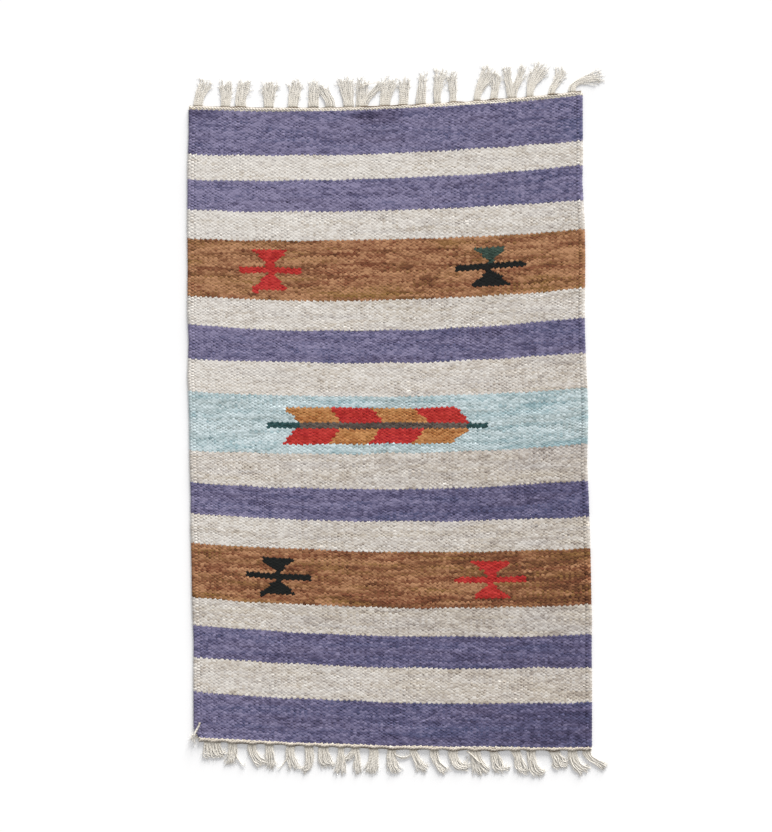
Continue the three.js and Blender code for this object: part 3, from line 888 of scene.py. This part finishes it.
def warp_end(tuft, out, work, from_x, side, seed):
    """One warp end as YARN_POINTS points."""
    chance = lambda n: float(hashed(seed, n, 21 if out > 0 else 22)) - 0.5
    radius, curl = work["radius"], tuft["curl"]
    root = np.array([tuft["root"], 0.0])
    root[1] = edge_y(root[0], out) + out * NECK_OUT
    run = np.array([tuft["tip"], out * abs(tuft["reach"])]) - root
    length = np.linalg.norm(run)
    ahead = run / length
    across = np.array([ahead[1], -ahead[0]]) * out

    neck = np.array([root[0] + side * tuft["foot"] + chance(1) * 2.0, 0.0])
    neck[1] = edge_y(neck[0], out) + out * NECK_OUT
    reach = 1.03 + work["ragged"] * (chance(3) - 0.2) - 0.07 * side * side
    tip = root + run * reach + across * (side * tuft["fan"] / 2 + chance(2) * 4.0)
    one = neck + np.array([tuft["bow"] * 1.2, out * length * 0.34])
    two = mix(neck, tip, 0.68) + across * tuft["bow"] * 0.8
    steps = YARN_POINTS - 2
    t = np.linspace(0, 1, steps)[:, None]
    line = (1 - t) ** 3 * neck + 3 * t * (1 - t) ** 2 * one + 3 * t * t * (1 - t) * two + t ** 3 * tip
    sway = curl * (0.3 + 1.1 * t) * np.sin(t * (6 + 4 * chance(6)) + 6.28 * (seed % 3) / 3 + 2 * chance(8))
    crimp = 0.35 * radius * np.sin(t * 19 + 6.28 * chance(9))
    line = line + across * (sway + crimp)
    turn = -out * tuft["hook"] * (1 + 0.8 * chance(10)) + (0.35 + 0.4 * curl) * chance(11)
    tail = np.clip((t[:, 0] - HOOK_FROM) / (1 - HOOK_FROM), 0, 1)
    line = rotated(line, line[int(HOOK_FROM * (steps - 1))], turn * tail)

    layer = radius + radius * work["layers"] * float(hashed(seed, 7, 23)) * (1 - 0.6 * t[:, 0])
    z = mix(UNDER_CORD["neck"], layer, np.clip(t[:, 0] * 3, 0, 1)) + 0.3 * radius * np.sin(t[:, 0] * 9 + seed)
    middle = mix(from_x, neck[0], 0.6)
    under = [(from_x, edge_y(from_x, out) - out * UNDER_CORD["in"], UNDER_CORD["high"]),
             (middle, edge_y(middle, out) + out * UNDER_CORD["out"], UNDER_CORD["low"])]
    return np.concatenate([under, np.column_stack([line, np.maximum(z, radius)])])


def taper(paths, radius):
    """Yarn radius per point: a little uneven along the yarn and thin at its frayed tip."""
    count, steps, _ = paths.shape
    thick = radius * (0.94 + 0.12 * hashed(np.arange(count)[:, None], np.arange(steps)[None, :], 31))
    return thick * np.interp(np.linspace(0, 1, steps), (0, 0.55, 0.85, 1), (1, 1, 0.7, 0.25))


def hair_paths(paths, work, out):
    """Loose fibres that leave each warp end near its tip."""
    made = []
    for number, path in enumerate(paths):
        for hair in range(work["hairs"]):
            chance = lambda n: float(hashed(number * 17 + hair, n, 25 if out > 0 else 26)) - 0.5
            at = int(mix(len(path) - 2, work["hair_from"] * len(path), (chance(1) + 0.5) ** 1.5))
            ahead = path[at + 1, :2] - path[at, :2]
            heading = math.atan2(ahead[1], ahead[0]) + 1.1 * chance(2)
            length = HAIR_LENGTH * (0.7 + 0.9 * chance(3))
            point = path[at].copy()
            line = [point.copy()]
            for step in range(4):
                heading += 0.7 * chance(4)
                step_on = np.array([math.cos(heading), math.sin(heading), 0.12 * chance(5)])
                point = point + step_on * length / 4
                line.append(point.copy())
            made.append(line)
    return np.array(made)


def cord_line(tufts, out, cord):
    """The middle line of the header cord as x and y, arched from tuft to tuft."""
    side = 0.0 if out > 0 else float(PICK_COUNT)
    left, right = (float(cloth_xy(np.array([side]), np.array([s]))[0][0]) for s in (0.0, 1.0))
    roots = [float(t["root"]) for t in tufts]
    marks = [left + 1] + [b for a, b in zip([left] + roots, roots) if b - a > 6] + [right - 1]
    x = np.arange(marks[0], marks[-1], 1.5)
    span = np.clip(np.searchsorted(marks, x, side="right") - 1, 0, len(marks) - 2)
    marks = np.array(marks)
    part = (x - marks[span]) / (marks[span + 1] - marks[span])
    away = cord["away"] - cord["arch"] * np.sin(math.pi * part) + 0.5 * cloud(x / 19, 0 * x, 27)
    return x, edge_y(x, out) + out * away


def cord_paths(tufts, out, cord):
    """The two plies of the header cord."""
    x, y = cord_line(tufts, out, cord)
    plies = []
    for ply in (0, 1):
        turn = x * 2 * math.pi / CORD_TURN + ply * math.pi + 0.6 * cloud(x / 25, 0 * x, 28)
        lift = cord["high"] + 0.6 * cord["ply"] * np.sin(turn)
        plies.append(np.column_stack([x, y + out * 0.75 * cord["ply"] * np.cos(turn), lift]))
    return np.array(plies)


def shadow_strand_path(tufts, out, cord):
    """The dark strand just outside the cord, a painted shadow line, and its uneven radius."""
    x, y = cord_line(tufts, out, cord)
    path = np.column_stack([x, y + out * (1.6 * cord["ply"] + 0.5), 2.3 + 0.8 * cloud(x / 17, 0 * x, 29)])
    radius = cord["shadow_strand"] * np.clip(cord["even"] + 1.3 * cloud(x / 13, 0 * x, 30), 0.2, 1.1)
    return path[None], radius[None]


def stray_paths(strays):
    """Smooth lines through the points of each stray yarn."""
    made = []
    for stray in strays:
        points = np.array(stray["points"], dtype=float)
        at = np.linspace(0, 1, len(points))
        fine = np.linspace(0, 1, YARN_POINTS)
        cubic = [np.polyval(np.polyfit(at, points[:, k], min(3, len(points) - 1)), fine) for k in (0, 1)]
        high = np.full(YARN_POINTS, float(stray["high"]))
        made.append(np.column_stack([*cubic, high + 0.3 * np.sin(fine * 9)]))
    return np.array(made)


# Operators

def finish_piece(piece, slot, *nodes):
    """Hangs the piece on the root body and hides the named CAD nodes; slot is not used."""
    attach(piece, "root")
    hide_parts(*nodes)


class RugSettings(bpy.types.PropertyGroup):
    relief: FloatProperty(name="Weave relief",
                          description="How far the beads stand over the cloth's mean face, in mm",
                          default=0.32, min=0.1, max=1.5)
    key_light: FloatProperty(name="Window light",
                             description="Strength of the soft low light from past the far edge",
                             default=6.0, min=0.0)
    sky_light: FloatProperty(name="Room light", description="Strength of the even light from all round",
                             default=0.567, min=0.0)
    lens_height: FloatProperty(name="Camera height", description="Height of the camera over the floor",
                               default=CAMERA_HEIGHT * MM, min=1.0, unit="LENGTH")


class RUG_OT_face(bpy.types.Operator):
    """Weave the face of the cloth, one piece for each band of weft"""
    bl_idname = "rug.face"
    bl_label = "Weave the face"

    def execute(self, context):
        relief = context.scene.rug.relief
        for number, band in enumerate(BANDS):
            first, last = int(STARTS[number]), int(STARTS[number + 1])
            piece = weave(f"band_{number + 1:02d}_{band['yarn']}", first, last, relief)
            finish_piece(piece, "wool_" + band["yarn"], "woven_field")
        return {"FINISHED"}


class RUG_OT_back(bpy.types.Operator):
    """Lay the back of the cloth on the floor"""
    bl_idname = "rug.back"
    bl_label = "Lay the back"

    def execute(self, context):
        piece = underside("cloth_back")
        finish_piece(piece, "wool_ivory", "woven_field")
        return {"FINISHED"}


class RUG_OT_fringes(bpy.types.Operator):
    """Work the header and the fringe at both short edges"""
    bl_idname = "rug.fringes"
    bl_label = "Work the fringes"

    def execute(self, context):
        warp = cotton_warp("plied cotton warp", "#938a7d", "#cdc6b9", "#ece7de", 0.07)
        cord = cotton_warp("cotton header cord", "#8c8274", "#b9b0a4", "#cbc3b7", 0.04, 0.2)
        # Painted shade: a dark strand draws the shadow line along the cord's outer side.
        shadow_strand = cotton_warp("painted shadow line by the header cord", "#3a2f26", "#6e5f50", "#a39280")
        relief = context.scene.rug.relief
        for where, tufts, out in (("far", FAR_TUFTS, 1), ("near", NEAR_TUFTS, -1)):
            work, rope = FRINGES[where], CORDS[where]
            picks = (-HEADER_PICKS, 0) if out > 0 else (PICK_COUNT, PICK_COUNT + HEADER_PICKS)
            header = weave(f"{where}_header", *picks, relief * 0.8)
            paths = np.concatenate([fringe_paths(tufts, out, work), stray_paths(STRAYS[where])])
            along = np.linspace(0, 1, YARN_POINTS)
            own = WARP_TONE["chance"] * hashed(np.arange(len(paths)), out + 2, 41)[:, None]
            tone = WARP_TONE["root"] + own + WARP_TONE["gain"] * along
            # Painted shade: each warp end's first part, under the cord, is darker.
            tone = tone - WARP_TONE["dark"] * (along < WARP_TONE["part"])
            thick = taper(paths, work["radius"])
            ends = tubes(f"{where}_warp_ends", paths, thick, warp, tone, 6, work["twist"])
            hairs = hair_paths(paths, work, out)
            fine = np.full(hairs.shape[:2], HAIR_RADIUS)
            frayed = tubes(f"{where}_frayed_fibres", hairs, fine, warp, fine * 0 + 0.5, 3)
            plies = cord_paths(tufts, out, rope)
            around = np.full(plies.shape[:2], rope["ply"])
            wound = tubes(f"{where}_cord", plies, around, cord, around * 0 + rope["tone"], 8, 3.0)
            line, thin = shadow_strand_path(tufts, out, rope)
            dark = tubes(f"{where}_thread", line, thin, shadow_strand, thin * 0 + 0.3, 5, 2.0)
            for piece in (header, ends, frayed, wound, dark):
                finish_piece(piece, "cotton_warp", "fringe_" + where)
        return {"FINISHED"}


class RUG_OT_stage(bpy.types.Operator):
    """Set the floor, the soft light and the camera over the rug"""
    bl_idname = "rug.stage"
    bl_label = "Set the stage"

    def execute(self, context):
        scene = context.scene
        settings = scene.rug
        corners = np.array([(-1, -1, 0), (1, -1, 0), (1, 1, 0), (-1, 1, 0)]) * FLOOR_HALF
        floor = make_mesh("floor", corners, [[[0, 1, 2, 3]]], [floor_material()])

        world = bpy.data.worlds.new("even studio light")
        world.use_nodes = True
        back = world.node_tree.nodes["Background"]
        back.inputs["Color"].default_value = to_linear(SKY_COLOUR)
        back.inputs["Strength"].default_value = settings.sky_light
        scene.world = world
        scene.view_settings.view_transform = "Standard"

        lamp = bpy.data.lights.new("window", "SUN")
        lamp.angle = math.radians(WINDOW["wide"])
        lamp.energy = settings.key_light
        lamp.color = WINDOW["colour"]
        window = bpy.data.objects.new("window", lamp)
        window.location = WINDOW["place"]
        window.rotation_euler = (math.radians(WINDOW["tilt"]), 0, math.radians(WINDOW["turn"]))
        scene.collection.objects.link(window)

        camera = bpy.data.cameras.new("camera")
        camera.sensor_width = SENSOR
        camera.lens = SENSOR * settings.lens_height / (PHOTO_SIZE[1] * PHOTO_MM * MM)
        camera.clip_end = 100
        shot = bpy.data.objects.new("camera", camera)
        shot.location = ((PHOTO_SIZE[0] / 2 - ORIGIN_PIXEL[0]) * PHOTO_MM * MM,
                         (ORIGIN_PIXEL[1] - PHOTO_SIZE[1] / 2) * PHOTO_MM * MM, settings.lens_height)
        scene.collection.objects.link(shot)
        scene.camera = shot
        return {"FINISHED"}


class RUG_PT_panel(bpy.types.Panel):
    """The rug's settings and steps"""
    bl_idname = "RUG_PT_panel"
    bl_label = "Dhurrie rug"
    bl_space_type = "VIEW_3D"
    bl_region_type = "UI"
    bl_category = "Rug"

    def draw(self, context):
        settings = context.scene.rug
        for name in ("relief", "key_light", "sky_light", "lens_height"):
            self.layout.prop(settings, name)
        for step in STEPS:
            self.layout.operator(step.bl_idname)


STEPS = (RUG_OT_stage, RUG_OT_back, RUG_OT_face, RUG_OT_fringes)
CLASSES = (RugSettings,) + STEPS + (RUG_PT_panel,)


def register():
    for cls in CLASSES:
        bpy.utils.register_class(cls)
    bpy.types.Scene.rug = PointerProperty(type=RugSettings)


def unregister():
    del bpy.types.Scene.rug
    for cls in reversed(CLASSES):
        bpy.utils.unregister_class(cls)


def main():
    register()
    bpy.ops.rug.stage()
    bpy.ops.rug.back()
    bpy.ops.rug.face()
    bpy.ops.rug.fringes()


if __name__ == "__main__":
    main()
